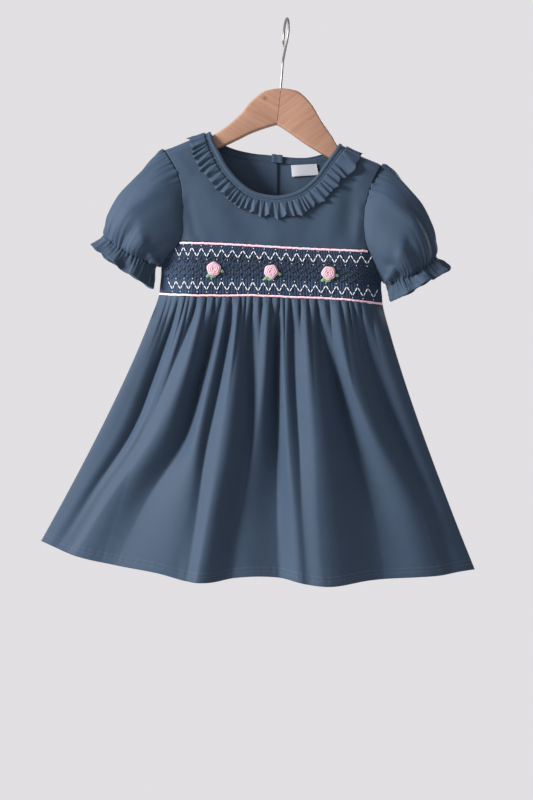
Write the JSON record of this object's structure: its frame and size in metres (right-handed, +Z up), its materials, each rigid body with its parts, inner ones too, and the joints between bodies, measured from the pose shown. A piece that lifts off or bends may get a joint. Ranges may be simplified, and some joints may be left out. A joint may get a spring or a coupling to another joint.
{
  "type": "child's smocked dress on a wooden hanger",
  "caption": "Short-sleeved smocked cotton dress with puff sleeves, neck ruffle and gathered skirt, hanging on a wooden hanger with a wire hook.",
  "frame": {"origin": "point where the inside of the hook rests on its rod", "axes": "+Z up, +Y towards the back of the dress, +X towards the right side of the dress as seen from the front"},
  "size_m": [0.4748, 0.1218, 0.6213],
  "materials": {
    "navy_jersey": "matte cotton jersey, dusty navy",
    "smocked_jersey": "matte cotton jersey with fine smocked pleats",
    "pink_piping": "smooth pale pink corded piping",
    "light_wood": "satin varnished light wood",
    "steel_wire": "bright steel wire",
    "button_plastic": "semi-gloss navy plastic",
    "label_white": "bare woven label"
  },
  "bodies": {
    "root": {"front_yoke": "navy_jersey", "smocked_band": "smocked_jersey", "piping_upper": "pink_piping", "piping_waist": "pink_piping", "front_skirt": "navy_jersey", "back_bodice_left": "navy_jersey", "back_bodice_right": "navy_jersey", "back_skirt": "navy_jersey", "neck_binding": "navy_jersey", "neck_ruffle": "navy_jersey", "sleeve_left": "navy_jersey", "sleeve_right": "navy_jersey", "button_1": "button_plastic", "button_2": "button_plastic", "button_3": "button_plastic", "neck_label": "label_white", "hanger_arm_left": "light_wood", "hanger_arm_right": "light_wood", "hook_wire": "steel_wire"}
  },
  "joints": []
}
